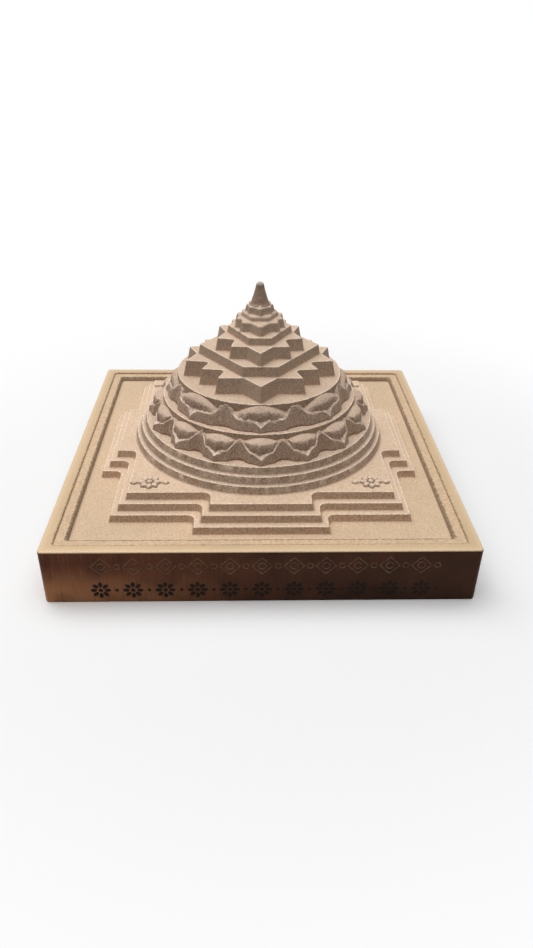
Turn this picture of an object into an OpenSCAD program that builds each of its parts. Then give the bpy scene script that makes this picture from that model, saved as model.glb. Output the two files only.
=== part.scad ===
// Meru shri yantra: a stepped brass yantra built up from separate tiers, each seated on the one below.
// Millimetres. The origin is the middle of the underside, +Z is up and the front faces -Y.

/* [Plate] */
// Side of the square plate
plate_side = 76; // [72:1:110]
// Height of the plate at its rim
plate_h = 11; // [8:0.5:16]
// Width of the raised rim
rim_w = 2.1; // [1:0.1:3]
// Step down from the rim to the ledge
rim_step = 0.4; // [0.4:0.1:1.2]
// Width of the ledge inside the rim
ledge_w = 1.9; // [1:0.1:2.5]
// Step down from the ledge to the sunken field
field_step = 1.0; // [0.3:0.1:1.2]

/* [Gate terraces] */
// Side of the lowest square terrace, at its top
terrace_side = 54.6; // [53.6:0.1:58]
// Width of the gate on each side of the lowest terrace, at its top
gate_w = 24.1; // [22:0.1:28]
// Middle to gate face of the lowest terrace, at its top
gate_reach = 31.1; // [30:0.1:32]
// How much smaller each next terrace is, on every edge
terrace_inset = 1.45; // [1:0.05:1.6]
// Height of each terrace
terrace_h = 1.5; // [1.2:0.1:2.5]
// Lean of the terrace and ring walls, in degrees
terrace_draft = 12; // [4:1:14]

/* [Rings] */
// Radius of the lowest ring, at its top
ring_r = 25.1; // [24.8:0.1:25.4]
// How much smaller each next ring is in radius
ring_inset = 1; // [0.7:0.05:1.1]
// Height of each ring
ring_h = 1.5; // [1.2:0.1:2.5]

/* [Sixteen petals] */
// Ledge left on the upper ring around the sixteen petal tips
outer_ledge_w = 0.5; // [0.4:0.1:0.8]
// Reach of the sixteen petals from their drum to their tips
outer_petal_l = 3.2; // [2.6:0.1:3.4]
// Reach of the collar from its drum to the notches between the sixteen petals
outer_notch_l = 0.65; // [0.45:0.05:1.2]
// Height of the drum inside the sixteen petals
outer_drum_h = 4.7; // [4.2:0.1:6]
// How far the collar of sixteen petals ends below the top of its drum
outer_drop = 0.7; // [0.3:0.05:0.9]
// How much higher the collar rises behind the swelling of each of the sixteen petals
outer_lift = 0.1; // [0:0.05:0.2]
// Height of the wall under the sixteen petal tips
outer_tip_h = 1; // [0.6:0.1:1.4]
// Width of the swelling on each of the sixteen petals
outer_swell_w = 7; // [6:0.1:7.4]
// How far that swelling stands out
outer_swell_h = 0.6; // [0.3:0.05:0.7]
// Length of the flat tip below that swelling
outer_flat_l = 0.5; // [0.3:0.1:0.8]

/* [Eight petals] */
// Ledge left on the outer drum around the eight petal tips
inner_ledge_w = 0.6; // [0.2:0.1:0.9]
// Reach of the eight petals from their drum to their tips
inner_petal_l = 2.5; // [2.2:0.1:2.8]
// Reach of the collar from its drum to the notches between the eight petals
inner_notch_l = 0.4; // [0.35:0.05:0.9]
// Height of the drum inside the eight petals
inner_drum_h = 4.5; // [4:0.1:6]
// How far the collar of eight petals ends below the top of its drum
inner_drop = 0.7; // [0.5:0.05:0.9]
// How much higher the collar rises behind the swelling of each of the eight petals
inner_lift = 0.5; // [0:0.05:0.5]
// Height of the wall under the eight petal tips
inner_tip_h = 0.8; // [0.5:0.1:1.2]
// Width of the swelling on each of the eight petals
inner_swell_w = 8.8; // [7.6:0.1:9.4]
// How far that swelling stands out
inner_swell_h = 0.5; // [0.3:0.05:0.6]
// Length of the flat tip below that swelling
inner_flat_l = 0.75; // [0.5:0.05:1]

/* [Yantra] */
// Ledge left on the inner drum around the circle that the yantra is drawn in
yantra_ledge_w = 1.18; // [1.1:0.01:1.8]
// Lean of the star and hexagon walls, in degrees
star_draft = 7.5; // [3:0.5:8]
// Height of the fourteen-point star
star_fourteen_h = 3.2; // [2.4:0.1:3.4]
// Height of the hexagon on the fourteen-point star
hexagon_lower_h = 2; // [1.2:0.1:2.4]
// Height of the outer ten-point star
star_ten_outer_h = 2.5; // [1.6:0.1:2.8]
// Height of the hexagon on the outer ten-point star
hexagon_middle_h = 1.5; // [1.2:0.1:1.8]
// Height of the inner ten-point star
star_ten_inner_h = 1.9; // [1.2:0.1:2.2]
// Height of the hexagon on the inner ten-point star
hexagon_upper_h = 0.9; // [0.8:0.1:1.2]
// Height of the eight-point star
star_eight_h = 1.4; // [1.2:0.1:1.6]
// Height of the innermost triangle
triangle_h = 0.25; // [0.2:0.05:0.8]

/* [Bindu] */
// Height of the bindu above the triangle
bindu_h = 4.05; // [2.5:0.05:5]
// Radius of the bindu at its foot
bindu_foot_r = 1.9; // [1.4:0.05:2]
// Radius of the rounded tip of the bindu
bindu_tip_r = 0.8; // [0.4:0.05:0.9]

/* [Seats] */
// Radius of the spigot under each gate terrace and ring
terrace_spigot_r = 16; // [8:0.5:18]
// Radius of the spigot under each drum
drum_spigot_r = 12; // [6:0.5:14]
// Radius of the spigots of the fourteen-point star and the hexagon on it
star_spigot_r = 6; // [4:0.5:8]
// Radius of the spigots of the outer ten-point star and the hexagon on it
ten_spigot_r = 3; // [2:0.25:4]
// Radius of the spigots of the inner ten-point star and the two tiers on it
small_spigot_r = 1.5; // [1.2:0.1:1.8]
// Radius of the pin under the bindu
pin_r = 0.6; // [0.4:0.05:0.8]
// Depth of the spigots
spigot_h = 0.5; // [0.3:0.05:0.6]
// Gap around each spigot, and around each drum inside its petals
seat_clear = 0.03; // [0.02:0.01:0.06]
// Gap under the end of each spigot
end_clear = 0.05; // [0.03:0.01:0.1]

/* [Hidden] */
$fn = 96;

brass = "#c9a06c";
brass_pale = "#d8b88c";

// Radius at the point of the cutter, which rounds every inner corner
cutter_tip_r = 0.4;
// Short lines in the round of one inner corner
corner_steps = 4;
// Short lines along one side of a petal
petal_steps = 10;
// Strips from the drum to the rim of a petal
petal_rows = 6;
// Flat land around the bore of each petal collar
collar_land_w = 0.15;
// Lean of the walls under the petals, in degrees
outer_petal_draft = 16;
inner_petal_draft = 5;
// Share of its reach that a petal loses evenly from its middle line to the notch
petal_fall = 0.25;
// The form of each petal: the share of its reach that is drawn out into its point, the share of its breadth
// that this point takes, where its shoulder is on the way to the notch, and how crisp that shoulder is
outer_form = [0.3, 0.4, 0.7, 9];
inner_form = [0.35, 0.22, 0.775, 20];
// Short lines along the side of the bindu, and how hollow that side is
bindu_steps = 6;
bindu_hollow = 1.25;
// How far a cut runs past the face that it opens
over = 1;

// The radii from the upper ring inwards
upper_ring_r = ring_r - 2 * ring_inset;
outer_tip_r = upper_ring_r - outer_ledge_w;
outer_drum_r = outer_tip_r - outer_petal_l;
inner_tip_r = outer_drum_r - inner_ledge_w;
inner_drum_r = inner_tip_r - inner_petal_l;
yantra_r = inner_drum_r - yantra_ledge_w;

// The underside of each tier
field_z = plate_h - rim_step - field_step;
terrace_z = [for (i = [0:3]) field_z + i * terrace_h];
ring_z = [for (i = [0:3]) terrace_z[3] + i * ring_h];
outer_drum_z = ring_z[3];
inner_drum_z = outer_drum_z + outer_drum_h;
star_fourteen_z = inner_drum_z + inner_drum_h;
hexagon_lower_z = star_fourteen_z + star_fourteen_h;
star_ten_outer_z = hexagon_lower_z + hexagon_lower_h;
hexagon_middle_z = star_ten_outer_z + star_ten_outer_h;
star_ten_inner_z = hexagon_middle_z + hexagon_middle_h;
hexagon_upper_z = star_ten_inner_z + star_ten_inner_h;
star_eight_z = hexagon_upper_z + hexagon_upper_h;
triangle_z = star_eight_z + star_eight_h;
bindu_z = triangle_z + triangle_h;

// The yantra circle is 48 parts across, as in the usual drawing. Each outline is the right half of a tier's
// top, from its front point round to its back point.
part = yantra_r / 24;
star_fourteen_half = [
    [0, -24.5], [5, -18.4], [12.7, -18.5], [10.5, -12.6], [17.7, -11.8], [15.3, -6.4], [22.8, -5.4],
    [19.8, 0.4], [22.4, 6], [15.3, 7], [17.7, 12.2], [10.5, 13], [12.7, 18.6], [5, 18.5], [0, 24.5]
];
hexagon_lower_half = [[5.2, -17.6], [18.7, 0.2], [5.2, 17.8]];
star_ten_outer_half = [
    [0, -17.2], [3.8, -11.8], [8.8, -11.6], [7.6, -5.9], [13.1, -4.9],
    [10.6, 0.6], [12.8, 6.1], [7.6, 6.7], [8.8, 11.8], [3.8, 12], [0, 17.2]
];
hexagon_middle_half = [[3.3, -11], [9.8, 0.2], [3.3, 11.2]];
star_ten_inner_half = [
    [0, -10.4], [2.9, -6.2], [5.9, -6], [5.2, -2.9], [7.6, -2.4],
    [6.4, 0.3], [7.4, 3.2], [5.2, 3.7], [5.8, 6.4], [2.9, 6.6], [0, 10.6]
];
hexagon_upper_half = [[2.6, -5.5], [5.7, 0.2], [2.6, 5.9]];
star_eight_half = [
    [0, -4.8], [1.9, -2.9], [3.4, -2.6], [3.4, -1], [4.4, 0.2], [3.3, 1.2], [3.3, 3.1], [1.7, 3.3], [0, 4.9]
];
triangle_half = [[0, -3.7], [3.2, 1.85]];

// The whole outline in millimetres, counter-clockwise, from its right half
function whole(half) = part * concat(
    half,
    [for (i = [len(half) - 1:-1:0]) if (half[i][0] > 0) [-half[i][0], half[i][1]]]
);

// A square with a gate in the middle of each side: half side, half gate width and gate reach
function gate_square(side, gate, reach) =
    let (quarter = [[gate, -reach], [gate, -side], [side, -side], [side, -gate], [reach, -gate]])
    [for (q = [0:3]) for (p = quarter)
        [p[0] * cos(90 * q) - p[1] * sin(90 * q), p[0] * sin(90 * q) + p[1] * cos(90 * q)]];

function unit(v) = v / norm(v);
function before(p, i) = p[(i + len(p) - 1) % len(p)];
function after(p, i) = p[(i + 1) % len(p)];
function outward(a, b) = let (e = unit(b - a)) [e[1], -e[0]];

// The outline with every edge moved out by d
function grown(p, d) = [
    for (i = [0:len(p) - 1])
    let (m = outward(before(p, i), p[i]), n = outward(p[i], after(p, i)))
    p[i] + d * (m + n) / (1 + m * n)
];

// The outline with every inner corner rounded to radius r
function rounded(p, r) = [
    for (i = [0:len(p) - 1])
    let (
        u = unit(before(p, i) - p[i]),
        v = unit(after(p, i) - p[i]),
        half = acos(u * v) / 2,
        middle = p[i] + unit(u + v) * r / sin(half),
        from = p[i] + u * r / tan(half) - middle,
        start = atan2(from[1], from[0])
    )
    each cross(p[i] - before(p, i), after(p, i) - p[i]) >= 0 ? [p[i]] : [
        for (k = [0:corner_steps])
        let (a = start - k / corner_steps * (180 - 2 * half))
        middle + r * [cos(a), sin(a)]
    ]
];

// How far a petal reaches at the share t of the way from its middle line to the notch beside it: a blunt
// swell that drops at the shoulder, with a point drawn out of its middle
function petal_reach(t, form) =
    (1 - form[0]) * (1 - petal_fall * t) / (1 + pow(t / form[2], form[3]))
    + form[0] * pow(max(0, 1 - t / form[1]), 1.5);

// A block with leaning walls whose top has the given outline. The top and the underside are cut like a pie,
// from their middle to every point of the outline.
module leaning(top, h, draft) {
    n = len(top);
    low = grown(top, h * tan(draft));
    polyhedron(
        points = concat(
            [for (p = low) [p[0], p[1], 0]],
            [for (p = top) [p[0], p[1], h]],
            [[0, 0, 0], [0, 0, h]]
        ),
        faces = [for (i = [0:n - 1]) let (j = (i + 1) % n) each [
            [2 * n, i, j], [2 * n + 1, n + j, n + i], [i, n + i, n + j], [i, n + j, j]
        ]]
    );
}

// Adds a spigot of radius below_r under a tier, and cuts the socket for the tier above, of radius above_r
module seated(h, below_r, above_r) {
    difference() {
        union() {
            children();
            translate([0, 0, -spigot_h]) cylinder(r = below_r, h = 2 * spigot_h);
        }
        translate([0, 0, h - spigot_h - end_clear])
            cylinder(r = above_r + seat_clear, h = spigot_h + end_clear + over);
    }
}

module base_plate() {
    ledge_side = plate_side - 2 * rim_w;
    field_side = ledge_side - 2 * ledge_w;
    color(brass) difference() {
        translate([-plate_side / 2, -plate_side / 2, 0]) cube([plate_side, plate_side, plate_h]);
        translate([-ledge_side / 2, -ledge_side / 2, plate_h - rim_step])
            cube([ledge_side, ledge_side, rim_step + over]);
        translate([-field_side / 2, -field_side / 2, field_z])
            cube([field_side, field_side, plate_h - field_z + over]);
        translate([0, 0, field_z - spigot_h - end_clear])
            cylinder(r = terrace_spigot_r + seat_clear, h = spigot_h + end_clear + over);
    }
}

module gate_terrace(i) {
    inset = i * terrace_inset;
    outline = gate_square(terrace_side / 2 - inset, gate_w / 2 - inset, gate_reach - inset);
    color(brass_pale) translate([0, 0, terrace_z[i]])
        seated(terrace_h, terrace_spigot_r, terrace_spigot_r)
            leaning(
                rounded(outline, cutter_tip_r + terrace_h * tan(terrace_draft)), terrace_h, terrace_draft
            );
}
module gate_terrace_lower() gate_terrace(0);
module gate_terrace_middle() gate_terrace(1);
module gate_terrace_upper() gate_terrace(2);

module ring(i, above_r) {
    top_r = ring_r - i * ring_inset;
    color(brass_pale) translate([0, 0, ring_z[i]])
        seated(ring_h, terrace_spigot_r, above_r)
            cylinder(r1 = top_r + ring_h * tan(terrace_draft), r2 = top_r, h = ring_h);
}
module ring_lower() ring(0, terrace_spigot_r);
module ring_middle() ring(1, terrace_spigot_r);
module ring_upper() ring(2, drum_spigot_r);

module drum_outer() {
    color(brass_pale) translate([0, 0, outer_drum_z])
        seated(outer_drum_h, drum_spigot_r, drum_spigot_r) cylinder(r = outer_drum_r, h = outer_drum_h);
}

module drum_inner() {
    color(brass_pale) translate([0, 0, inner_drum_z])
        seated(inner_drum_h, drum_spigot_r, star_spigot_r) cylinder(r = inner_drum_r, h = inner_drum_h);
}

// How proud the swelling of a petal stands, as a share of the most, at x across and y along the petal from
// the swelling's middle: a pillow with pointed ends, w wide and l long
function pillow(x, y, w, l) =
    let (across = 1 - pow(2 * x / w, 2))
    across > 0 ? max(0, across - pow(2 * y / l, 2) / across) : 0;

// A collar of n petals that slips over its drum. Its top slopes from back_h at the drum down to tip_h at the
// tips, and rises by lift close to the drum in the middle of each petal. A swelling swell_w wide and swell_h
// proud lies on each petal, from the drum to flat_l short of the tip.
module petals(n, drum_r, tip_r, notch_r, back_h, lift, tip_h, swell_w, swell_h, flat_l, draft, form) {
    bore_r = drum_r + seat_clear;
    land_r = bore_r + collar_land_w;
    slope = atan2(back_h - tip_h, tip_r - land_r);
    middle_r = (tip_r - flat_l + land_r) / 2;
    swell_l = (tip_r - flat_l - land_r) / cos(slope);
    columns = 2 * petal_steps * n;
    side = [for (k = [0:columns - 1]) (k + petal_steps) % (2 * petal_steps) / petal_steps - 1];
    turn = [for (k = [0:columns - 1]) -90 + k / columns * 360];
    rim_r = [for (t = side) notch_r + (tip_r - notch_r) * petal_reach(abs(t), form)];
    rim_h = [for (r = rim_r) back_h - (r - land_r) * tan(slope)];
    rows = [for (j = [0:petal_rows]) [for (k = [0:columns - 1])
        let (
            share = j / petal_rows,
            r = land_r + (rim_r[k] - land_r) * share,
            rise = j > 0 ? lift * (1 - pow(side[k], 2)) * (1 - share) : 0,
            proud = swell_h * pillow(
                r * sin(side[k] * 180 / n), (r - middle_r) / cos(slope), swell_w, swell_l
            ),
            out = r + proud * sin(slope)
        )
        [
            out * cos(turn[k]),
            out * sin(turn[k]),
            back_h - (r - land_r) * tan(slope) + rise + proud * cos(slope)
        ]
    ]];
    foot = [for (k = [0:columns - 1])
        let (r = rim_r[k] + rim_h[k] * tan(draft))
        [r * cos(turn[k]), r * sin(turn[k]), 0]
    ];
    last = petal_rows * columns;
    low = last + columns;
    ends = low + columns;
    color(brass) difference() {
        polyhedron(
            points = concat([for (row = rows) each row], foot, [[0, 0, 0], [0, 0, back_h]]),
            faces = [for (k = [0:columns - 1]) let (m = (k + 1) % columns) each concat(
                [for (j = [0:columns:last - columns]) each [
                    [j + k, j + m, j + columns + m], [j + k, j + columns + m, j + columns + k]
                ]],
                [
                    [low + k, last + k, last + m], [low + k, last + m, low + m],
                    [ends, low + k, low + m], [ends + 1, m, k]
                ]
            )]
        );
        translate([0, 0, -over]) cylinder(r = bore_r, h = back_h + 2 * over);
    }
}

module petals_sixteen() {
    back_h = outer_drum_h - outer_drop;
    notch_r = outer_drum_r + outer_notch_l;
    translate([0, 0, outer_drum_z])
        petals(
            16, outer_drum_r, outer_tip_r, notch_r, back_h, outer_lift, outer_tip_h,
            outer_swell_w, outer_swell_h, outer_flat_l, outer_petal_draft, outer_form
        );
}
module petals_eight() {
    back_h = inner_drum_h - inner_drop;
    notch_r = inner_drum_r + inner_notch_l;
    translate([0, 0, inner_drum_z])
        petals(
            8, inner_drum_r, inner_tip_r, notch_r, back_h, inner_lift, inner_tip_h,
            inner_swell_w, inner_swell_h, inner_flat_l, inner_petal_draft, inner_form
        );
}

module yantra_tier(half, z, h, below_r, above_r) {
    color(brass_pale) translate([0, 0, z])
        seated(h, below_r, above_r)
            leaning(rounded(whole(half), cutter_tip_r + h * tan(star_draft)), h, star_draft);
}
module star_fourteen() {
    yantra_tier(star_fourteen_half, star_fourteen_z, star_fourteen_h, star_spigot_r, star_spigot_r);
}
module hexagon_lower() {
    yantra_tier(hexagon_lower_half, hexagon_lower_z, hexagon_lower_h, star_spigot_r, ten_spigot_r);
}
module star_ten_outer() {
    yantra_tier(star_ten_outer_half, star_ten_outer_z, star_ten_outer_h, ten_spigot_r, ten_spigot_r);
}
module hexagon_middle() {
    yantra_tier(hexagon_middle_half, hexagon_middle_z, hexagon_middle_h, ten_spigot_r, small_spigot_r);
}
module star_ten_inner() {
    yantra_tier(star_ten_inner_half, star_ten_inner_z, star_ten_inner_h, small_spigot_r, small_spigot_r);
}
module hexagon_upper() {
    yantra_tier(hexagon_upper_half, hexagon_upper_z, hexagon_upper_h, small_spigot_r, small_spigot_r);
}
module star_eight() {
    yantra_tier(star_eight_half, star_eight_z, star_eight_h, small_spigot_r, pin_r);
}

// The triangle is held by the pin of the bindu, which passes through it into the star below
module triangle() {
    color(brass_pale) translate([0, 0, triangle_z]) difference() {
        leaning(whole(triangle_half), triangle_h, star_draft);
        translate([0, 0, -over]) cylinder(r = pin_r + seat_clear, h = triangle_h + 2 * over);
    }
}

// A cone with hollow sides that ends in a half ball
module bindu() {
    ball_z = bindu_h - bindu_tip_r;
    color(brass) translate([0, 0, bindu_z]) {
        rotate_extrude() {
            polygon([
                [0, 0],
                for (k = [0:bindu_steps])
                    let (rise = k / bindu_steps)
                    [bindu_tip_r + (bindu_foot_r - bindu_tip_r) * pow(1 - rise, bindu_hollow), rise * ball_z],
                [0, ball_z]
            ]);
            intersection() {
                translate([0, ball_z]) circle(r = bindu_tip_r);
                translate([0, ball_z]) square(bindu_tip_r);
            }
        }
        translate([0, 0, -triangle_h - spigot_h]) cylinder(r = pin_r, h = triangle_h + 2 * spigot_h);
    }
}

base_plate();
gate_terrace_lower();
gate_terrace_middle();
gate_terrace_upper();
ring_lower();
ring_middle();
ring_upper();
drum_outer();
petals_sixteen();
drum_inner();
petals_eight();
star_fourteen();
hexagon_lower();
star_ten_outer();
hexagon_middle();
star_ten_inner();
hexagon_upper();
star_eight();
triangle();
bindu();
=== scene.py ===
"""The looks of the meru shri yantra: milled matt brass in tiers, on a pale floor.

Shapes are worked out in millimetres and stored in metres. Loops of points run counter-clockwise as seen
from above, and pieces are lofts through such loops, from the underside up.
"""
import math

import bpy
from mathutils import Matrix, Vector, noise

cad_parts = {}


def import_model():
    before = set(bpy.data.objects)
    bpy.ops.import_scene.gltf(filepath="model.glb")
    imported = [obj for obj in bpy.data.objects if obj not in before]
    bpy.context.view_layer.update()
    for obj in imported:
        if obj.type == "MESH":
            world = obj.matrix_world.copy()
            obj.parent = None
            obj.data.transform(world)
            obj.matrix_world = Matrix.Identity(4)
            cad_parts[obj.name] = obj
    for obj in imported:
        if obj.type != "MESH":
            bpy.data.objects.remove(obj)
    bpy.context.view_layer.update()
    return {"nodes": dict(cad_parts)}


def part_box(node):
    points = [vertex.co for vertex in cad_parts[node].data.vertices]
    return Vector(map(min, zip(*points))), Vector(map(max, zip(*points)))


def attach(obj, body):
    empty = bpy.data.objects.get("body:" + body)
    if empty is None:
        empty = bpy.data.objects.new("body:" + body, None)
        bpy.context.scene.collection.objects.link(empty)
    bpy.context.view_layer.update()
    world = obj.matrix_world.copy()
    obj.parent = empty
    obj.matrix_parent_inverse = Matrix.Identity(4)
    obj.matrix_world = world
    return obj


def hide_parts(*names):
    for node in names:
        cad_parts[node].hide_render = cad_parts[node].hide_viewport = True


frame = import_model()

MM = 0.001
# Sine and cosine of the steps along a quarter circle
QUARTER = [(math.sin(math.radians(a)), math.cos(math.radians(a))) for a in (0, 30, 60, 90)]

# Reading of the CAD nodes: how far a point may lie from its level, the least gap between the round spigot or
# socket and the outline, and the depth of the spigots
LEVEL_GAP = 0.01
HOLE_GAP = 0.05
SPIGOT_H = 0.5

# Edges: radii of upper edges, of feet and of the wear on wide edges, breadth of the flat lip behind an edge,
# share of the wear at its lower end, how far a foot sinks into the tier below, height of burrs and the least
# turn of an outer corner
EDGE_R = 0.1
FOOT_R = 0.18
WORN_R = 0.14
LIP_W = 0.25
LOW_WEAR = 0.3
SUNK = 0.02
BURR = 0.05
CORNER_TURN = math.radians(24)
ROUND_STEPS = 480

# Unevenness: strength and grain of its layers along edges, along the petals' rims and across the rim lines,
# and grains on the plate's borders, the petals' swellings and the bindu
EDGE_GRIT = ((0.5, 0.45), (0.8, 1.1))
RIM_GRIT = ((0.6, 0.4), (0.6, 0.9))
RIM_LINE_GRIT = ((1.2, 0.55),)
BORDER_GRAIN = 0.42
SWELL_GRAIN = 0.45
BINDU_GRAIN = 0.8

# Tiers, with the radii of their upper edges and of their outer corners
TIERS = {
    "gate_terrace_lower": (EDGE_R, EDGE_R), "gate_terrace_middle": (EDGE_R, EDGE_R),
    "gate_terrace_upper": (EDGE_R, EDGE_R), "star_fourteen": (EDGE_R, 0.14), "hexagon_lower": (EDGE_R, 0.2),
    "star_ten_outer": (0.16, 0.25), "hexagon_middle": (0.18, 0.35), "star_ten_inner": (0.4, 0.6),
    "hexagon_upper": (0.4, 0.7), "star_eight": (0.3, 0.4), "triangle": (0.08, 0.1),
}
ROUND_TIERS = ("ring_lower", "ring_middle", "ring_upper", "drum_outer", "drum_inner")
# Gate terraces: radii of their inner corners and of the fillet at their foot, and the least length of a
# straight edge
GATE_CUTTER_R = 1.4
GATE_FOOT_R = 0.22
STRAIGHT_L = 0.4
ARC_STEPS = 8

# Plate, whose sides stand back a little so that the inlay stays inside the solid
PLATE_HALF = 37.95
PLATE_H = 11
PLATE_CORNER_R = 0.7
PLATE_EDGE_R = 0.22
PLATE_WEAR = 0.8
RIM_W = 2.1
LEDGE_W = 1.9
LEDGE_Z = 10.6
FIELD_Z = 9.6
SIDE_POINTS = 360
# Steps of its border: draft, breadth of the dark lines, their raggedness, and their darkening below rim and
# ledge: a grime line along each edge and painted shade down each step's wall
BORDER_DRAFT = math.radians(8)
BORDER_LINE_W = 0.2
BORDER_RAG = 0.7
RIM_GRIME_AND_SHADE = 0.45
LEDGE_GRIME_AND_SHADE = 0.75

# Inlay on the front of the plate: how far it stands out, breadth of its lines, and the shares of breadth and
# height at softened edges
INLAY_OUT = 0.045
LINE_W = 0.2
LINE_SOFT = 0.25
LOW_OUT = 0.3
SHAPE_OUT = 0.8
# Its two rows: middle height, first place, spacing, count and sizes. Rings and dots have a radius and steps,
# petals a length, a width and a power
UPPER_ROW = dict(z=7.9, x=-27.5, step=5.5, count=11, lozenge_r=1.9, ring=(0.75, 24), between=(0.62, 20))
LOWER_ROW = dict(
    z=2.7, x=-28.0, step=5.6, count=11,
    petals=8, root_r=0.6, petal=(1.2, 0.75, 0.6), middle=(0.4, 20), dot=(0.32, 16),
)

# Rosettes at the corners of the upper terrace: place and height, then the flower's petals, root and middle,
# the two leaves beside it with their distance and share of the height, and the wear on top
ROSETTE_AT = (20.6, 21.2)
ROSETTE_H = 0.5
ROSETTE_PETALS = 8
ROSETTE_PETAL = (1.5, 1.15)
ROSETTE_ROOT_R = 0.62
ROSETTE_MIDDLE = (0.56, 24)
ROSETTE_MIDDLE_RISE = 1.15
ROSETTE_LEAF = (1.5, 1.1)
ROSETTE_LEAF_AT = 2.15
ROSETTE_LEAF_RISE = 0.8
ROSETTE_WEAR = 0.5
ROSETTE_WORN_FROM = 0.7
# Outline offset and share of the height, from the foot of a mound to its top
MOUND = ((0.06, -0.02), (0.0, 0.12), (-0.03, 0.55), (-0.12, 0.85), (-0.24, 1.0))

# Petal collars: count, steps across half a petal, radii of drum, tip and notch, height of the seat, heights
# of the rim's cone at the drum and at the tip, heights of the upper edge in the middle, at the ends of the
# swelling and over the notch, lean of the walls, form of the outline as in the CAD part (share and breadth
# of the point, place and crispness of the shoulder), the swelling (its breadth, its share of the point, its
# height and the place of its crest) and the lean of the rim line in the middle and over the notch
PETALS = {
    "petals_sixteen": dict(
        count=16, steps=28, drum_r=19.4, tip_r=22.6, notch_r=20.05, seat_z=18.6, cone=(4.0, 1.0),
        crown=(4.1, 3.3, 3.7), draft=13, form=(0.3, 0.4, 0.7, 9), swell=(0.82, 0.1, 0.95, 0.5), lean=(30, 56),
    ),
    "petals_eight": dict(
        count=8, steps=44, drum_r=16.3, tip_r=18.8, notch_r=16.7, seat_z=23.3, cone=(3.8, 0.8),
        crown=(4.3, 2.8, 3.75), draft=16, form=(0.35, 0.22, 0.775, 16), swell=(0.7, 0.0, 0.52, 0.5),
        lean=(41, 72),
    ),
}
COLLAR_GAP = 0.03
COLLAR_LAND = 0.06
# Form of a petal: fall of its shoulder, power of its point, power of the swelling up and down and across
PETAL_FALL = 0.25
POINT_POWER = 1.5
DOME_POWER = 1.6
ACROSS_POWER = 0.7
SWELL_ROWS = 22
# Heights on its wall, as shares, with the painted shade near its foot
WALL_ROWS = ((0.0, 0.5), (0.12, 0.3), (0.4, 0.0), (0.7, 0.0), (0.96, 0.0))
# Rim line: rows, breadth, most stretch where it runs inwards, least share of the collar behind it, least
# rise behind it, even and uneven wear, painted shade over the notch, power of its fade and height of burrs
RIM_ROWS = 6
RIM_LINE_W = 0.28
RIM_STRETCH = 2.0
RIM_SHARE = 0.3
RIM_RISE = 0.02
RIM_WEAR = 0.6
RIM_UNEVEN_WEAR = 1.7
NOTCH_SHADE = 0.5
RIM_FADE = 6
RIM_BURR = 4 * BURR

# Bindu: radii of foot, flare and tip, power of its hollow flank, depth below the star's top, steps, rows and
# the part of the height, as one in so many, in which the flare fades
BINDU_FOOT_R = 1.88
BINDU_FLARE = 0.16
BINDU_TIP_R = 0.8
BINDU_HOLLOW = 1.18
BINDU_SUNK = 0.3
BINDU_STEPS = 72
BINDU_ROWS = 24
FLARE_FADE = 6

# Matt brass: metallic share, roughness and its spread, shine, how far walls and tops look up, share of the
# grains on tops, painted shade on the walls, and the scale, strength and tone of the soft patches
MATT_METALLIC = 0.12
MATT_ROUGHNESS = 0.65
ROUGHNESS_SPREAD = 0.1
BRASS_SHINE = 0.12
WALL_UP = 0.2
TOP_UP = 0.8
TOP_GRAIN = 0.55
WALL_PAINTED_SHADE = 0.22
PATCH_SCALE = 120
PATCH_SHARE = 0.35
PATCH_TONE = 0.82
# Colour of the painted golden glints down the walls
GLINT = (0.95, 0.7, 0.38)

# Sides, dark with painted shade: colours, bounds in metres of the browner part and of the golden corner,
# which is a painted reflection, measured along a direction that leads away from that corner, and the corner's
# height
SIDE_DEEP = (0.025, 0.011, 0.008)
SIDE_PAINTED_SHADE = (0.052, 0.023, 0.013)
SIDE_BROWN_SHADE = (0.115, 0.039, 0.02)
SIDE_PAINTED_SHEEN = (0.38, 0.172, 0.078)
BROWN_SHADE_BOUNDS = (-0.079, -0.009)
SHEEN_BOUNDS = (-0.072, -0.034)
SHEEN_H = 0.0085
CORNER_DIRECTION = (1, 0.9, 0)

# Camera, fitted to the plate's corners and the tiers
CAMERA_AT = (-2.96, -133.99, 86.29)
CAMERA_DOWN = math.radians(31.906)
CAMERA_RIGHT = math.radians(2.04)
CAMERA_ROLL = math.radians(0.962)
CAMERA_LENS = 27.28
SENSOR_H = 36
CLIP_START = 0.01

# Light: the heights between which the sky goes from dark to bright and its strength overhead, and the lamp's
# place, size and aim in metres and its watts
SKY_FROM = 0.74
SKY_TO = 0.98
SKY_LEVEL = 3.0
KEY_AT = (-0.25, 0.16, 0.5)
KEY_SIZE = 0.4
KEY_WATTS = 1.1
KEY_AIM = (0, 0, 0.02)

# Floor, in metres: its own pale grey near the object, pure white further off
FLOOR_HALF = 4
FLOOR_NEAR = 0.052
FLOOR_FAR = 0.12
FLOOR_PALE = 0.9
FLOOR_BOUNCE = 0.12


# Outlines

def turns(steps):
    """The angles of a full turn in equal steps."""
    return [2 * math.pi * k / steps for k in range(steps)]


def circle(r, steps=ROUND_STEPS):
    return [Vector((r * math.cos(a), r * math.sin(a))) for a in turns(steps)]


def grown(loop, d):
    """The outline with every edge moved out by d."""
    out = []
    for i, p in enumerate(loop):
        a = (p - loop[i - 1]).normalized()
        b = (loop[(i + 1) % len(loop)] - p).normalized()
        m, n = Vector((a.y, -a.x)), Vector((b.y, -b.x))
        out.append(p + d * (m + n) / (1 + m.dot(n)))
    return out


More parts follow.
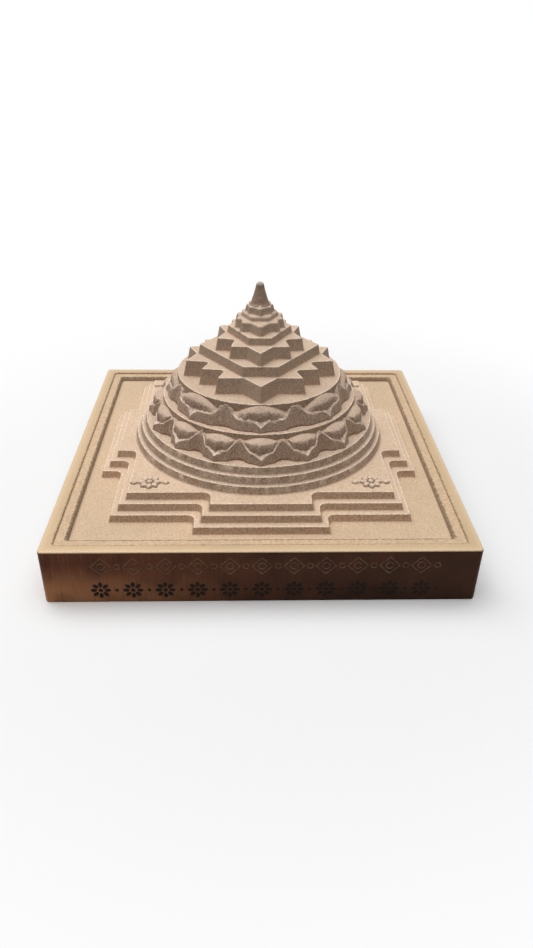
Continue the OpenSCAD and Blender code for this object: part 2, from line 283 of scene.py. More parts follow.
def rounded_square(half, r, steps=5):
    """A square with round corners and points along its sides, from the upper end of its right side."""
    out = []
    for q in range(4):
        x, y = ((1, 1), (-1, 1), (-1, -1), (1, -1))[q]
        middle = Vector((x * (half - r), y * (half - r)))
        for k in range(steps + 1):
            a = math.pi / 2 * (q + k / steps)
            out.append(middle + Vector((r * math.cos(a), r * math.sin(a))))
        end = out[-1]
        along = Vector((-math.sin(math.pi / 2 * (q + 1)), math.cos(math.pi / 2 * (q + 1))))
        for k in range(1, SIDE_POINTS):
            out.append(end + along * 2 * (half - r) * k / SIDE_POINTS)
    return out


def leaf(length, width, full=0.8, steps=14):
    """A pointed leaf from the origin along +Y, counter-clockwise, the fuller the smaller the power is."""
    breadths = [width / 2 * math.sin(math.pi * k / steps) ** full for k in range(steps)]
    right = [Vector((x, length * k / steps)) for k, x in enumerate(breadths)]
    left = [Vector((-q.x, length - q.y)) for q in right]
    return right + left


def placed(outline, at, turn=0.0):
    return [Vector(at) + Matrix.Rotation(turn, 2) @ p for p in outline]


def lifted(loop, z):
    return [Vector((p.x, p.y, z)) for p in loop]


def ragged(p, grain):
    """A repeatable unevenness between -1 and 1, in grains of the given size."""
    return noise.noise(p / grain)


def uneven(p, layers):
    """Layers of unevenness together, each with its strength and its grain."""
    return sum(strength * ragged(p, grain) for strength, grain in layers)


def node_levels(node):
    """The height of a tier's seat, where it is widest, and of its top."""
    points = [v.co / MM for v in frame["nodes"][node].data.vertices]
    seat = max(points, key=lambda p: p.xy.length).z
    return seat, max(p.z for p in points)


def node_outline(node, z):
    """The outline of a CAD tier at height z, without the round spigot or socket in its middle."""
    found = {}
    for v in frame["nodes"][node].data.vertices:
        p = v.co / MM
        if abs(p.z - z) < LEVEL_GAP:
            found[(round(p.x, 3), round(p.y, 3))] = p.xy
    hole_r = min(p.length for p in found.values())
    outline = [p for p in found.values() if p.length > hole_r + HOLE_GAP]
    return sorted(outline, key=lambda p: math.atan2(p.y, p.x))


def softened(loop, corners, r):
    """The outline with the listed outer corners rounded to radius r."""
    out = []
    for i, p in enumerate(loop):
        if i not in corners:
            out.append(p)
            continue
        u = (loop[i - 1] - p).normalized()
        v = (loop[(i + 1) % len(loop)] - p).normalized()
        half = u.angle(v) / 2
        middle = p + (u + v).normalized() * r / math.sin(half)
        start = p + u * r / math.tan(half) - middle
        sweep = math.pi - 2 * half
        for k in range(4):
            out.append(middle + Matrix.Rotation(sweep * k / 3, 2) @ start)
    return out


def recut(loop, r):
    """The outline between its straight edges, with sharp outer corners and inner corners of radius r."""
    n = len(loop)
    straight = [i for i in range(n) if (loop[(i + 1) % n] - loop[i]).length > STRAIGHT_L]
    first = max(range(len(straight)), key=lambda k: loop[straight[k]].x + loop[(straight[k] + 1) % n].x)
    straight = straight[first:] + straight[:first]
    out = []
    for i, j in zip(straight, straight[1:] + straight[:1]):
        u = (loop[(i + 1) % n] - loop[i]).normalized()
        v = (loop[(j + 1) % n] - loop[j]).normalized()
        corner = loop[i] + u * (loop[j] - loop[i]).cross(v) / u.cross(v)
        if u.cross(v) > 0:
            out.append(corner)
            continue
        sweep = u.angle(v)
        middle = corner - u * r * math.tan(sweep / 2) + r * Vector((u.y, -u.x))
        start = -r * Vector((u.y, -u.x))
        for k in range(ARC_STEPS + 1):
            out.append(middle + Matrix.Rotation(-sweep * k / ARC_STEPS, 2) @ start)
    return out


def outer_corners(loop):
    """The places in an outline of its sharp outer corners."""
    found = set()
    for i, p in enumerate(loop):
        a = p - loop[i - 1]
        b = loop[(i + 1) % len(loop)] - p
        if a.x * b.y - a.y * b.x > 0 and a.angle(b) > CORNER_TURN:
            found.add(i)
    return found


# Meshes

def loft(loops, ring=False):
    """Faces through the loops. The ends are capped, or joined to each other if the loft is a ring."""
    n = len(loops[0])
    points = [p for loop in loops for p in loop]
    faces = []
    spans = len(loops) if ring else len(loops) - 1
    for j in range(spans):
        low, high = j * n, (j + 1) % len(loops) * n
        for k in range(n):
            m = (k + 1) % n
            faces.append((low + k, low + m, high + m, high + k))
    if not ring:
        faces.append(tuple(reversed(range(n))))
        faces.append(tuple(range((len(loops) - 1) * n, len(loops) * n)))
    return points, faces


def joined(parts):
    """Several sets of points and faces as one."""
    points, faces = [], []
    for more_points, more_faces in parts:
        faces.extend(tuple(i + len(points) for i in face) for face in more_faces)
        points.extend(more_points)
    return points, faces


def piece(name, points, faces, materials, slot, node=None, edges=None, picks=None):
    """A mesh that rides on the body, with a value at each point, above nought for worn edges and below it for
    grime and painted shade, and a material per face.
    """
    mesh = bpy.data.meshes.new(name)
    mesh.from_pydata([p * MM for p in points], [], faces)
    mesh.shade_smooth()
    worn = mesh.attributes.new("edge", "FLOAT", "POINT")
    worn.data.foreach_set("value", edges or [0.0] * len(points))
    for material in materials:
        mesh.materials.append(material)
    if picks:
        mesh.polygons.foreach_set("material_index", picks)
    obj = bpy.data.objects.new(name, mesh)
    bpy.context.scene.collection.objects.link(obj)
    normals = obj.modifiers.new("normals", "WEIGHTED_NORMAL")
    normals.weight = 80
    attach(obj, "root")
    if node:
        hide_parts(node)
    return obj


def block(top, low, seat_z, top_z, corners=(), edge_r=EDGE_R, corner_r=EDGE_R, foot_r=FOOT_R, burr=0.0):
    """Loops and worn edges of a leaning block with a small fillet at its foot and a rounded upper edge."""
    h = top_z - seat_z
    worn = min(1.0, WORN_R / edge_r)
    loops, edges = [], []

    def add(outline, out, z, edge=0.0):
        loop = lifted(softened(grown(outline, out), corners, max(corner_r + out, corner_r / 8)), z)
        grit = [uneven(p, EDGE_GRIT) * edge for p in loop]
        loops.append([p * (1 + burr * g / p.xy.length) for p, g in zip(loop, grit)] if burr else loop)
        edges.extend([edge * (0.75 + 0.5 * g) for g in grit])

    def wall(z):
        share = (z - seat_z) / h
        return [b.lerp(t, share) for b, t in zip(low, top)]

    add(low, foot_r, seat_z - SUNK)
    for s, c in QUARTER:
        z = seat_z + foot_r * (1 - c)
        add(wall(z), foot_r * (1 - s), z)
    for s, c in QUARTER:
        add(top, -edge_r * (1 - c), top_z - edge_r * (1 - s), worn if s else LOW_WEAR * worn)
    add(top, -edge_r - LIP_W, top_z)
    return loops, edges


def tier(node, material, edge_r, corner_r):
    """A yantra tier or gate terrace, on the outline of its CAD node."""
    seat_z, top_z = node_levels(node)
    top, low = node_outline(node, top_z), node_outline(node, seat_z)
    foot_r = FOOT_R
    if node.startswith("gate"):
        spread = max(p.x for p in low) - max(p.x for p in top)
        top, low = recut(top, GATE_CUTTER_R), recut(low, GATE_CUTTER_R - spread)
        foot_r = GATE_FOOT_R
    first = min(range(len(low)), key=lambda i: (low[i].normalized() - top[0].normalized()).length)
    low = low[first:] + low[:first]
    loops, edges = block(top, low, seat_z, top_z, outer_corners(top), edge_r, corner_r, foot_r)
    return piece(node + "_brass", *loft(loops), [material], "relief_brass", node, edges)


def round_tier(node, material):
    """A ring or drum, on the radii of its CAD node."""
    seat_z, top_z = node_levels(node)
    radius = {}
    for v in frame["nodes"][node].data.vertices:
        p = v.co / MM
        level = "top" if abs(p.z - top_z) < LEVEL_GAP else "seat"
        radius[level] = max(radius.get(level, 0), p.xy.length)
    if node.startswith("drum"):
        seat_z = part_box(node)[0].z / MM + SPIGOT_H
    loops, edges = block(circle(radius["top"]), circle(radius["seat"]), seat_z, top_z, burr=2 * BURR)
    return piece(node + "_brass", *loft(loops), [material], "relief_brass", node, edges)


def plate(side, rim, ledge, field):
    """The plate: sides dark with painted shade, smooth rim, rough ledge and sunken field, with ragged dark
    lines between: grime along the edges and painted shade down the step walls.
    """
    loops, edges, spans = [], [], []

    def add(half, z, pick, edge=0.0, rag=0.0):
        """A loop at height z. The faces from it to the next loop take the picked material. A ragged loop has
        burrs, and its line is broken."""
        loop = lifted(rounded_square(half, PLATE_CORNER_R), z)
        grit = [ragged(q, BORDER_GRAIN) for q in loop]
        spans.append(pick)
        loops.append([q + Vector((0, 0, BURR * max(0.0, rag * g))) for q, g in zip(loop, grit)])
        edges.extend([edge + rag * g for g in grit])

    for s, c in QUARTER:
        add(PLATE_HALF - PLATE_EDGE_R * (1 - s), PLATE_EDGE_R * (1 - c), 0)
    for s, c in QUARTER:
        add(PLATE_HALF - PLATE_EDGE_R * (1 - c), PLATE_H - PLATE_EDGE_R * (1 - s), 1, PLATE_WEAR * s)
    half = PLATE_HALF - RIM_W
    steps = ((PLATE_H, LEDGE_Z, LEDGE_W, 1, 2, RIM_GRIME_AND_SHADE), (LEDGE_Z, FIELD_Z, 0.0, 2, 3, LEDGE_GRIME_AND_SHADE))
    for upper, lower, width, above, below, darkening in steps:
        foot = half - (upper - lower) * math.tan(BORDER_DRAFT)
        add(half + 3 * BORDER_LINE_W, upper, above)
        add(half + 2 * BORDER_LINE_W, upper, above, 0.0, BORDER_RAG)
        # A grime line by the edge, then painted shade down the step's wall to its foot
        add(half + BORDER_LINE_W, upper, above, -darkening, BORDER_RAG)
        add(half, upper - EDGE_R / 2, below, -darkening, BORDER_RAG)
        add(foot + EDGE_R / 2, lower + EDGE_R, below, -darkening)
        add(foot, lower, below, -darkening)
        add(foot - 2 * EDGE_R, lower, below)
        half -= width
    points, faces = loft(loops)
    count = len(loops[0])
    picks = [spans[j // count] for j in range(count * (len(loops) - 1))] + [0, 3]
    materials = [side, rim, ledge, field]
    return piece("base_plate_brass", points, faces, materials, "plate_brass", "base_plate", edges, picks)


def on_front(outline, out):
    """An outline in X and Z, laid on the front of the plate and standing out from it."""
    return [Vector((p.x, -PLATE_HALF - out, p.y)) for p in outline]


def inlay_band(outline):
    """A closed line of inlay along an outline."""
    inner = grown(outline, -LINE_W)
    mid_out, mid_in = grown(outline, -LINE_W * LINE_SOFT), grown(outline, -LINE_W * (1 - LINE_SOFT))
    return loft([
        on_front(outline, -INLAY_OUT), on_front(outline, INLAY_OUT * LOW_OUT), on_front(mid_out, INLAY_OUT),
        on_front(mid_in, INLAY_OUT), on_front(inner, INLAY_OUT * LOW_OUT), on_front(inner, -INLAY_OUT),
    ], ring=True)


def inlay_shape(outline):
    """A filled shape of inlay with softened edges."""
    return loft([
        on_front(outline, -INLAY_OUT), on_front(outline, INLAY_OUT * LOW_OUT),
        on_front(grown(outline, -LINE_W * LINE_SOFT), INLAY_OUT * SHAPE_OUT),
    ])


def inlay(pale, dark):
    """Two rows of plain ornament on the plate's front: framed lozenges and rings over flowers and dots."""
    lines, flowers = [], []
    corner = UPPER_ROW["lozenge_r"]
    lozenge = [Vector(p) for p in ((corner, 0), (0, corner), (-corner, 0), (0, -corner))]
    for i in range(UPPER_ROW["count"]):
        at = (UPPER_ROW["x"] + i * UPPER_ROW["step"], UPPER_ROW["z"])
        lines.append(inlay_band(placed(lozenge, at)))
        lines.append(inlay_band(placed(circle(*UPPER_ROW["ring"]), at)))
        next_to = (at[0] + UPPER_ROW["step"] / 2, at[1])
        lines.append(inlay_band(placed(circle(*UPPER_ROW["between"]), next_to)))
    for i in range(LOWER_ROW["count"]):
        at = Vector((LOWER_ROW["x"] + i * LOWER_ROW["step"], LOWER_ROW["z"]))
        for turn in turns(LOWER_ROW["petals"]):
            root = at + Matrix.Rotation(turn, 2) @ Vector((0, LOWER_ROW["root_r"]))
            flowers.append(inlay_shape(placed(leaf(*LOWER_ROW["petal"]), root, turn)))
        flowers.append(inlay_shape(placed(circle(*LOWER_ROW["middle"]), at)))
        next_to = at + Vector((LOWER_ROW["step"] / 2, 0))
        flowers.append(inlay_shape(placed(circle(*LOWER_ROW["dot"]), next_to)))
    piece("front_inlay_lines", *joined(lines), [pale], "plate_brass")
    piece("front_inlay_flowers", *joined(flowers), [dark], "plate_brass")


def mound(outline, at, z, h):
    """A low domed relief over an outline."""
    return loft([lifted(placed(grown(outline, out), at), z + h * rise) for out, rise in MOUND])


def rosettes(material):
    """A raised flower between two leaves at each corner of the upper terrace."""
    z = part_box("gate_terrace_upper")[1].z / MM
    shapes = []
    for x in (-1, 1):
        for y in (-1, 1):
            at = Vector((x * ROSETTE_AT[0], y * ROSETTE_AT[1]))
            for turn in turns(ROSETTE_PETALS):
                root = at + Matrix.Rotation(turn, 2) @ Vector((0, ROSETTE_ROOT_R))
                shapes.append(mound(placed(leaf(*ROSETTE_PETAL), (0, 0), turn), root, z, ROSETTE_H))
            shapes.append(mound(circle(*ROSETTE_MIDDLE), at, z, ROSETTE_H * ROSETTE_MIDDLE_RISE))
            for away in (-1, 1):
                outline = placed(leaf(*ROSETTE_LEAF), (0, 0), -away * math.pi / 2)
                beside = at + Vector((away * ROSETTE_LEAF_AT, 0))
                shapes.append(mound(outline, beside, z, ROSETTE_H * ROSETTE_LEAF_RISE))
    points, faces = joined(shapes)
    top = z + ROSETTE_H * ROSETTE_WORN_FROM
    edges = [ROSETTE_WEAR * (p.z > top) for p in points]
    piece("corner_rosettes", points, faces, [material], "relief_brass", edges=edges)


def petal_reach(t, form, point_share=1.0):
    """How far a petal reaches, as a share of its length, from its middle line (t = 0) to the notch (1)."""
    point, breadth, shoulder, crisp = form
    swell = (1 - PETAL_FALL * t) / (1 + (t / shoulder) ** crisp)
    return (1 - point) * swell + point_share * point * max(0.0, 1 - t / breadth) ** POINT_POWER


def crown_z(t, ring):
    """The height of a collar's upper edge: an arc over each swelling and a rise over each notch."""
    middle, low, notch = ring["crown"]
    end = ring["swell"][0]
    if t < end:
        return middle - (middle - low) * (t / end) ** 2
    rise = (t - end) / (1 - end)
    return low + (notch - low) * rise ** 2 * (3 - 2 * rise)


def dome(v, crest):
    """A swelling from its lower edge (v = 0) over its crest to its upper edge (v = 1)."""
    return 1 - abs((v - crest) / (crest if v < crest else 1 - crest)) ** DOME_POWER


def petals(node, material):
    """A collar of petals, each a swelling inside a flat, ragged rim line, over leaning walls."""
    ring = PETALS[node]
    n, steps, notch_r = ring["count"], ring["steps"], ring["notch_r"]
    breadth, point_share, swell_h, crest = ring["swell"]
    middle_lean, notch_lean = ring["lean"]
    bore_r = ring["drum_r"] + COLLAR_GAP
    land_r = bore_r + COLLAR_LAND
    columns = 2 * steps * n
    side = [((k + steps) % (2 * steps)) / steps - 1 for k in range(columns)]
    near_notch = [t ** 4 for t in side]
    turn = [2 * math.pi * k / columns - math.pi / 2 for k in range(columns)]
    length = ring["tip_r"] - notch_r
    fall = (ring["cone"][0] - ring["cone"][1]) / (ring["tip_r"] - land_r)
    rim_r = [notch_r + length * petal_reach(abs(t), ring["form"]) for t in side]
    rim_z = [ring["cone"][0] - (r - land_r) * fall for r in rim_r]
    inner = [notch_r + length * petal_reach(abs(t), ring["form"], point_share) for t in side]
    inner_r, inner_z, back_z = [], [], []

    def at(k, r, z):
        return Vector((r * math.cos(turn[k]), r * math.sin(turn[k]), ring["seat_z"] + z))

    for k in range(columns):
        run = (inner[(k + 1) % columns] - inner[k - 1]) / (4 * math.pi / columns * inner[k])
        line_w = RIM_LINE_W * (1 + uneven(at(k, inner[k], 0), RIM_LINE_GRIT))
        r = inner[k] - line_w * min(RIM_STRETCH, math.hypot(1, run))
        inner_r.append(max(r, land_r + RIM_SHARE * (rim_r[k] - land_r)))
        lean = middle_lean + (notch_lean - middle_lean) * near_notch[k]
        inner_z.append(rim_z[k] + (rim_r[k] - inner_r[k]) * math.tan(math.radians(lean)))
        back_z.append(max(crown_z(abs(side[k]), ring), inner_z[k] + RIM_RISE))

    def on_rim(k, share):
        p = at(k, rim_r[k] + (inner_r[k] - rim_r[k]) * share, rim_z[k] + (inner_z[k] - rim_z[k]) * share)
        grit = uneven(p, RIM_GRIT)
        # The rim line darkens over the notch between petals: painted shade
        worn = (RIM_WEAR + RIM_UNEVEN_WEAR * grit) * (1 - near_notch[k]) - NOTCH_SHADE * near_notch[k] ** 2
        return p + Vector((0, 0, RIM_BURR * grit * (1 - share))), (1 - share ** RIM_FADE) * worn

    def on_swell(k, v):
        r = inner_r[k] + (land_r - inner_r[k]) * v
        z = inner_z[k] + (back_z[k] - inner_z[k]) * v
        slope = math.atan2(back_z[k] - inner_z[k], inner_r[k] - land_r)
        across = max(0.0, 1 - (side[k] / breadth) ** 2) ** ACROSS_POWER
        burr = BURR * ragged(at(k, r, z), SWELL_GRAIN) * min(1.0, 8 * v * (1 - v))
        proud = across * (swell_h * dome(v, crest) + burr)
        return at(k, r + proud * math.sin(slope), z + proud * math.cos(slope)), 0.0

    foot_r = [r + z * math.tan(math.radians(ring["draft"])) for r, z in zip(rim_r, rim_z)]
    rows = []
    # Painted shade, darkest at the foot of the wall
    for share, darkening in WALL_ROWS:
        wall = [(foot + (rim - foot) * share, z * share) for foot, rim, z in zip(foot_r, rim_r, rim_z)]
        rows.append([(at(k, r, z), -darkening) for k, (r, z) in enumerate(wall)])
    for j in range(RIM_ROWS):
        rows.append([on_rim(k, j / RIM_ROWS) for k in range(columns)])
    for j in range(SWELL_ROWS + 1):
        rows.append([on_swell(k, j / SWELL_ROWS) for k in range(columns)])
    rows.append([(at(k, bore_r, back_z[k]), 0.0) for k in range(columns)])
    rows.append([(at(k, bore_r, 0), 0.0) for k in range(columns)])
    loops = [[p for p, edge in row] for row in rows]
    edges = [edge for row in rows for p, edge in row]
    return piece(node + "_brass", *loft(loops, ring=True), [material], "relief_brass", node, edges)


def bindu(material):
    """A slightly hollow cone with a round tip, whose foot flares down over the triangle's sides."""
    foot_z = node_levels("star_eight")[1]
    ball_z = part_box("bindu")[1].z / MM - BINDU_TIP_R
    loops, edges = [], []

    def add(r, z, worn):
        loop = lifted(circle(r, BINDU_STEPS), z)
        loops.append([q + Vector((q.x, q.y, 0)) * BURR * ragged(q, BINDU_GRAIN) for q in loop])
        edges.extend([worn] * BINDU_STEPS)

    add(BINDU_FOOT_R + BINDU_FLARE, foot_z - BINDU_SUNK, 0.0)
    for k in range(BINDU_ROWS + 1):
        rise = k / BINDU_ROWS
        r = BINDU_TIP_R + (BINDU_FOOT_R - BINDU_TIP_R) * (1 - rise) ** BINDU_HOLLOW
        flare = BINDU_FLARE * max(0.0, 1 - FLARE_FADE * rise) ** 2
        add(r + flare, foot_z + rise * (ball_z - foot_z), 0.0)
    for a in range(10, 90, 10):
        s, c = math.sin(math.radians(a)), math.cos(math.radians(a))
        add(BINDU_TIP_R * c, ball_z + BINDU_TIP_R * s, s)
    return piece("bindu_brass", *loft(loops), [material], "bindu_brass", "bindu", edges)


# Materials

def nodes_of(name):
    """A new material with its nodes, links and shader."""
    material = bpy.data.materials.new(name)
    material.use_nodes = True
    tree = material.node_tree
    return material, tree.nodes, tree.links, tree.nodes["Principled BSDF"]


def noise_node(nodes, links, vector, scale, detail=2.0):
    node = nodes.new("ShaderNodeTexNoise")
    node.inputs["Scale"].default_value = scale
    node.inputs["Detail"].default_value = detail
    links.new(vector, node.inputs["Vector"])
    return node.outputs["Fac"]


def ramp(nodes, links, source, low, high, at_low, at_high):
    """The source value, mapped smoothly from low..high to at_low..at_high."""
    node = nodes.new("ShaderNodeMapRange")
    node.interpolation_type = "SMOOTHSTEP"
    for name, value in (("From Min", low), ("From Max", high), ("To Min", at_low), ("To Max", at_high)):
        node.inputs[name].default_value = value
    links.new(source, node.inputs["Value"])
    return node.outputs["Result"]


def mix(nodes, links, factor, a, b):
    """A colour between a and b, each a colour or a socket."""
    node = nodes.new("ShaderNodeMix")
    node.data_type = "RGBA"
    links.new(factor, node.inputs["Factor"])
    for name, value in (("A", a), ("B", b)):
        if isinstance(value, tuple):
            node.inputs[name].default_value = (*value, 1)
        else:
            links.new(value, node.inputs[name])
    return node.outputs["Result"]


def product(nodes, links, a, b):
    """Two values multiplied, the second a number or a socket."""
    node = nodes.new("ShaderNodeMath")
    node.operation = "MULTIPLY"
    links.new(a, node.inputs[0])
    if isinstance(b, float):
        node.inputs[1].default_value = b
    else:
        links.new(b, node.inputs[1])
    return node.outputs["Value"]


def stretched(nodes, links, place, down):
    """The place with its heights scaled, so that noise runs down the walls."""
    node = nodes.new("ShaderNodeMapping")
    node.inputs["Scale"].default_value = (1, 1, down)
    links.new(place, node.inputs["Vector"])
    return node.outputs["Vector"]


def bumped(nodes, links, shader, height, strength, distance):
    bump = nodes.new("ShaderNodeBump")
    bump.inputs["Strength"].default_value = strength
    bump.inputs["Distance"].default_value = distance * MM
    links.new(height, bump.inputs["Height"])
    links.new(bump.outputs["Normal"], shader.inputs["Normal"])


def wear_grime_and_shade(nodes, links, colour, pale, darkening, fine):
    """Paler in specks where the edge attribute is above nought, and darker where it is below: grime lines and
    dark gaps in the rim lines, and painted shade down the plate's step walls, at the foot of the petal walls
    and over the notches.
    """
    worn = nodes.new("ShaderNodeAttribute")
    worn.attribute_name = "edge"
    specks = ramp(nodes, links, fine, 0.38, 0.62, 1.0, 0.25)
    bright = product(nodes, links, ramp(nodes, links, worn.outputs["Fac"], 0.0, 1.0, 0.0, 0.9), specks)
    darkened = ramp(nodes, links, worn.outputs["Fac"], -1.0, -0.1, 0.7, 0.0)
    return mix(nodes, links, darkened, mix(nodes, links, bright, colour, pale), darkening)


def brass(
    name, tone, dark, pale, grain, size, depth, roughness=MATT_ROUGHNESS, metallic=MATT_METALLIC, glint=0.0
):
    """Matt milled brass: a tone with dark grains of a given size and depth in millimetres, stronger on the
    walls, painted shade on the walls, large soft patches, a few painted golden glints down the walls, paler
    worn edges, and grime and painted shade where the edge attribute is below nought."""
    material, nodes, links, shader = nodes_of(name)
    place = nodes.new("ShaderNodeTexCoord").outputs["Object"]
    facing = nodes.new("ShaderNodeSeparateXYZ")
    links.new(nodes.new("ShaderNodeNewGeometry").outputs["Normal"], facing.inputs["Vector"])
    up = facing.outputs["Z"]
    wall = ramp(nodes, links, up, WALL_UP, TOP_UP, 1.0, TOP_GRAIN)
    fine = noise_node(nodes, links, place, 1 / (size * MM), 3.0)
    grains = product(nodes, links, ramp(nodes, links, fine, 0.36, 0.66, 0.0, grain), wall)
    cloud = noise_node(nodes, links, place, PATCH_SCALE, 4.0)
    patches = ramp(nodes, links, cloud, 0.3, 0.7, 0.0, PATCH_SHARE)
    colour = mix(nodes, links, patches, tone, tuple(PATCH_TONE * c for c in tone))
    colour = mix(nodes, links, grains, colour, dark)
    # Painted shade: the more upright a face, the more it is mixed towards the dark tone
    colour = mix(nodes, links, ramp(nodes, links, up, WALL_UP, TOP_UP, WALL_PAINTED_SHADE, 0.0), colour, dark)
    # Painted glints: a few thin golden highlights down the upright walls
    if glint:
        sheen_streaks = noise_node(nodes, links, stretched(nodes, links, place, 0.05), 1500)
        painted_glints = ramp(nodes, links, sheen_streaks, 0.7, 0.78, 0.0, glint)
        upright = ramp(nodes, links, up, 0.25, 0.4, 1.0, 0.0)
        colour = mix(nodes, links, product(nodes, links, painted_glints, upright), colour, GLINT)
    colour = wear_grime_and_shade(nodes, links, colour, pale, tuple(0.5 * c for c in dark), fine)
    links.new(colour, shader.inputs["Base Color"])
    shader.inputs["Metallic"].default_value = metallic
    shader.inputs["Specular IOR Level"].default_value = BRASS_SHINE
    rough, smooth = roughness + ROUGHNESS_SPREAD, roughness - ROUGHNESS_SPREAD
    links.new(ramp(nodes, links, fine, 0.3, 0.7, rough, smooth), shader.inputs["Roughness"])
    bumped(nodes, links, shader, fine, 0.6, depth)
    return material


def painted_shade_sides(name):
    """The plate's sides: brushed brass darkened by painted shade, browner towards the left, with a painted
    golden reflection near the front left corner and in streaks towards the left.
    """
    material, nodes, links, shader = nodes_of(name)
    place = nodes.new("ShaderNodeTexCoord").outputs["Object"]
    parts = nodes.new("ShaderNodeSeparateXYZ")
    links.new(place, parts.inputs["Vector"])
    brush = noise_node(nodes, links, stretched(nodes, links, place, 0.04), 6000)
    cloud = noise_node(nodes, links, place, 160, 3.0)
    corner = nodes.new("ShaderNodeVectorMath")
    corner.operation = "DOT_PRODUCT"
    corner.inputs[1].default_value = CORNER_DIRECTION
    links.new(place, corner.inputs[0])
    left = ramp(nodes, links, corner.outputs["Value"], *BROWN_SHADE_BOUNDS, 1.0, 0.0)
    # Painted shade: the sides are dark, browner towards the left
    colour = mix(nodes, links, ramp(nodes, links, cloud, 0.3, 0.5, 0.3, 0.0), SIDE_PAINTED_SHADE, SIDE_BROWN_SHADE)
    colour = mix(nodes, links, left, colour, SIDE_BROWN_SHADE)
    low = ramp(nodes, links, parts.outputs["Z"], 0.0, SHEEN_H, 1.0, 0.0)
    # Painted reflection: golden low down near the front left corner
    sheen = ramp(nodes, links, corner.outputs["Value"], *SHEEN_BOUNDS, 1.0, 0.0)
    colour = mix(nodes, links, product(nodes, links, low, sheen), colour, SIDE_PAINTED_SHEEN)
    colour = mix(nodes, links, ramp(nodes, links, cloud, 0.45, 0.75, 0.0, 0.5), colour, SIDE_DEEP)
    colour = mix(nodes, links, ramp(nodes, links, brush, 0.3, 0.5, 0.22, 0.0), colour, SIDE_DEEP)
    # Painted reflection: golden streaks along the brushing, towards the left
    sheen_streaks = product(nodes, links, ramp(nodes, links, brush, 0.55, 0.75, 0.0, 0.2), left)
    colour = mix(nodes, links, sheen_streaks, colour, SIDE_PAINTED_SHEEN)
    links.new(colour, shader.inputs["Base Color"])
    shader.inputs["Metallic"].default_value = 0.6
    shader.inputs["Specular IOR Level"].default_value = 0.1
    links.new(ramp(nodes, links, brush, 0.3, 0.7, 0.44, 0.34), shader.inputs["Roughness"])
    bumped(nodes, links, shader, brush, 0.4, 0.02)
    return material


# Scene

def area_lamp(name, at, size, watts):
    lamp = bpy.data.lights.new(name, "AREA")
    lamp.size = size
    lamp.energy = watts
    obj = bpy.data.objects.new(name, lamp)
    obj.location = at
    obj.rotation_euler = (Vector(KEY_AIM) - Vector(at)).to_track_quat("-Z", "Y").to_euler()
    bpy.context.scene.collection.objects.link(obj)


def background_rays(nodes, links):
    """One for rays that show the background: to the camera, mirrored or let through."""
    seen = nodes.new("ShaderNodeLightPath")
    total = seen.outputs["Is Camera Ray"]
    for name in ("Is Glossy Ray", "Is Transmission Ray"):
        more = nodes.new("ShaderNodeMath")
        more.operation = "MAXIMUM"
        links.new(total, more.inputs[0])
        links.new(seen.outputs[name], more.inputs[1])
        total = more.outputs["Value"]
    return total


def world():
    """Soft light from above, and white where the camera sees past the floor."""
    w = bpy.data.worlds.new("studio")
    bpy.context.scene.world = w
    w.use_nodes = True
    nodes, links = w.node_tree.nodes, w.node_tree.links
    place = nodes.new("ShaderNodeTexCoord")
    parts = nodes.new("ShaderNodeSeparateXYZ")
    links.new(place.outputs["Generated"], parts.inputs["Vector"])
    sky = ramp(nodes, links, parts.outputs["Z"], SKY_FROM, SKY_TO, 0.0, SKY_LEVEL)
    strength = nodes.new("ShaderNodeMix")
    strength.inputs["B"].default_value = 1
    links.new(background_rays(nodes, links), strength.inputs["Factor"])
    links.new(sky, strength.inputs["A"])
    links.new(strength.outputs["Result"], nodes["Background"].inputs["Strength"])
    nodes["Background"].inputs["Color"].default_value = (1, 1, 1, 1)


def floor():
    """A pale floor that turns white further off. It throws little light back at the object's sides."""
    mesh = bpy.data.meshes.new("floor")
    corners = [(x * FLOOR_HALF, y * FLOOR_HALF, 0) for x, y in ((-1, -1), (1, -1), (1, 1), (-1, 1))]
    mesh.from_pydata(corners, [], [(0, 1, 2, 3)])
    obj = bpy.data.objects.new("floor", mesh)
    bpy.context.scene.collection.objects.link(obj)
    material, nodes, links, pale = nodes_of("floor_pale")
    pale.inputs["Base Color"].default_value = (*[FLOOR_PALE] * 3, 1)
    pale.inputs["Roughness"].default_value = 1
    place = nodes.new("ShaderNodeTexCoord")
    away = nodes.new("ShaderNodeVectorMath")
    away.operation = "LENGTH"
    links.new(place.outputs["Object"], away.inputs[0])
    far = ramp(nodes, links, away.outputs["Value"], FLOOR_NEAR, FLOOR_FAR, 0, 1)
    white = nodes.new("ShaderNodeEmission")
    shown = nodes.new("ShaderNodeMixShader")
    links.new(far, shown.inputs["Fac"])
    links.new(pale.outputs["BSDF"], shown.inputs[1])
    links.new(white.outputs["Emission"], shown.inputs[2])
    dull = nodes.new("ShaderNodeBsdfDiffuse")
    dull.inputs["Color"].default_value = (*[FLOOR_BOUNCE] * 3, 1)
    both = nodes.new("ShaderNodeMixShader")
    links.new(background_rays(nodes, links), both.inputs["Fac"])
    links.new(dull.outputs["BSDF"], both.inputs[1])
    links.new(shown.outputs["Shader"], both.inputs[2])
    links.new(both.outputs["Shader"], nodes["Material Output"].inputs["Surface"])
    mesh.materials.append(material)


def camera():
    data = bpy.data.cameras.new("camera")
    data.lens = CAMERA_LENS
    data.sensor_fit = "VERTICAL"
    data.sensor_height = SENSOR_H
    data.clip_start = CLIP_START
    obj = bpy.data.objects.new("camera", data)
    turn = Matrix.Rotation(-CAMERA_RIGHT, 4, "Z") @ Matrix.Rotation(math.pi / 2 - CAMERA_DOWN, 4, "X")
    roll = Matrix.Rotation(CAMERA_ROLL, 4, "Z")
    obj.matrix_world = Matrix.Translation(Vector(CAMERA_AT) * MM) @ turn @ roll
    bpy.context.scene.collection.objects.link(obj)
    bpy.context.scene.camera = obj


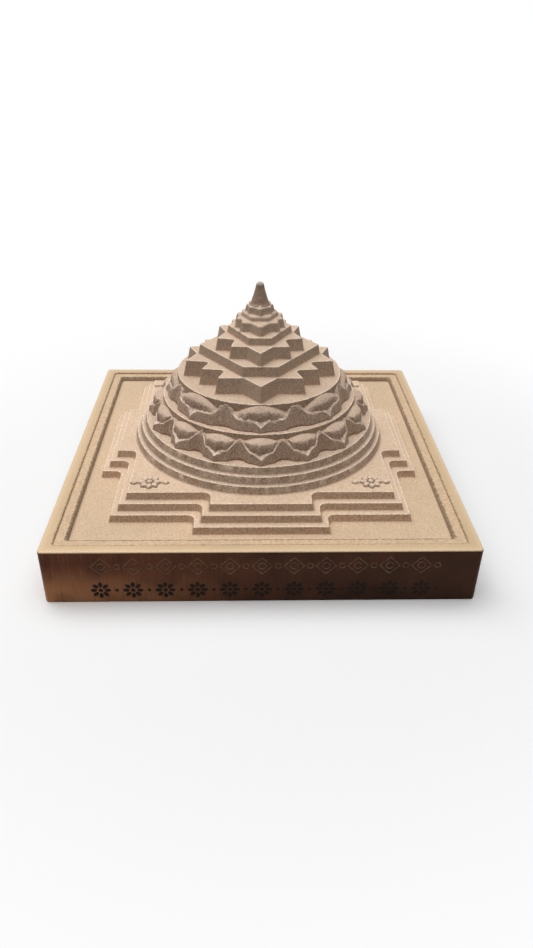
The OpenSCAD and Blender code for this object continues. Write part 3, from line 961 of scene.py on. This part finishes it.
relief = brass(
    "relief_matt_brass", tone=(0.71, 0.545, 0.41), dark=(0.255, 0.155, 0.108), pale=(0.95, 0.8, 0.64),
    grain=0.65, size=0.34, depth=0.07, glint=0.5,
)
gate_brass = brass(
    "gate_matt_brass", tone=(0.77, 0.59, 0.43), dark=(0.28, 0.115, 0.045), pale=(0.95, 0.8, 0.64),
    grain=0.45, size=0.34, depth=0.05, glint=0.5,
)
petal_brass = brass(
    "petal_matt_brass", tone=(0.71, 0.54, 0.41), dark=(0.3, 0.185, 0.132), pale=(0.97, 0.83, 0.68),
    grain=0.8, size=0.26, depth=0.1, glint=0.5,
)
star_brass = brass(
    "star_matt_brass", tone=(0.71, 0.545, 0.41), dark=(0.255, 0.155, 0.108), pale=(0.95, 0.8, 0.64),
    grain=0.45, size=0.34, depth=0.05, glint=0.5,
)
rim_brass = brass(
    "rim_satin_brass", tone=(0.66, 0.48, 0.3), dark=(0.42, 0.29, 0.17), pale=(0.8, 0.62, 0.42),
    grain=0.35, size=0.25, depth=0.02, roughness=0.5, metallic=0.2,
)
ledge_brass = brass(
    "ledge_stippled_brass", tone=(0.72, 0.53, 0.35), dark=(0.26, 0.17, 0.1), pale=(0.85, 0.68, 0.48),
    grain=0.6, size=0.4, depth=0.1,
)
field_brass = brass(
    "field_matt_brass", tone=(0.72, 0.54, 0.37), dark=(0.32, 0.22, 0.14), pale=(0.88, 0.72, 0.54),
    grain=0.6, size=0.34, depth=0.06,
)
bindu_brass = brass(
    "bindu_satin_brass", tone=(0.5, 0.35, 0.26), dark=(0.25, 0.17, 0.12), pale=(0.6, 0.58, 0.52),
    grain=0.5, size=0.35, depth=0.05, roughness=0.55, metallic=0.15,
)
side_brass = painted_shade_sides("side_brass_painted_shade")
# The inlay's tones are dimmed to sit in the painted shade of the sides
pale_inlay = brass(
    "inlay_pale_brass", tone=(0.2, 0.115, 0.065), dark=(0.05, 0.028, 0.018), pale=(0.3, 0.2, 0.12),
    grain=0.9, size=0.35, depth=0.02, roughness=0.42, metallic=0.6,
)
dark_inlay = brass(
    "inlay_dark_brass", tone=(0.03, 0.017, 0.011), dark=(0.012, 0.007, 0.005), pale=(0.06, 0.04, 0.03),
    grain=0.6, size=0.3, depth=0.02, roughness=0.55, metallic=0.3,
)

plate(side_brass, rim_brass, ledge_brass, field_brass)
inlay(pale_inlay, dark_inlay)
rosettes(relief)
for name, radii in TIERS.items():
    tier(name, gate_brass if name.startswith("gate") else star_brass, *radii)
for name in ROUND_TIERS:
    round_tier(name, relief)
for name in PETALS:
    petals(name, petal_brass)
bindu(bindu_brass)

floor()
world()
area_lamp("key", KEY_AT, KEY_SIZE, KEY_WATTS)
camera()
bpy.context.scene.view_settings.view_transform = "Standard"
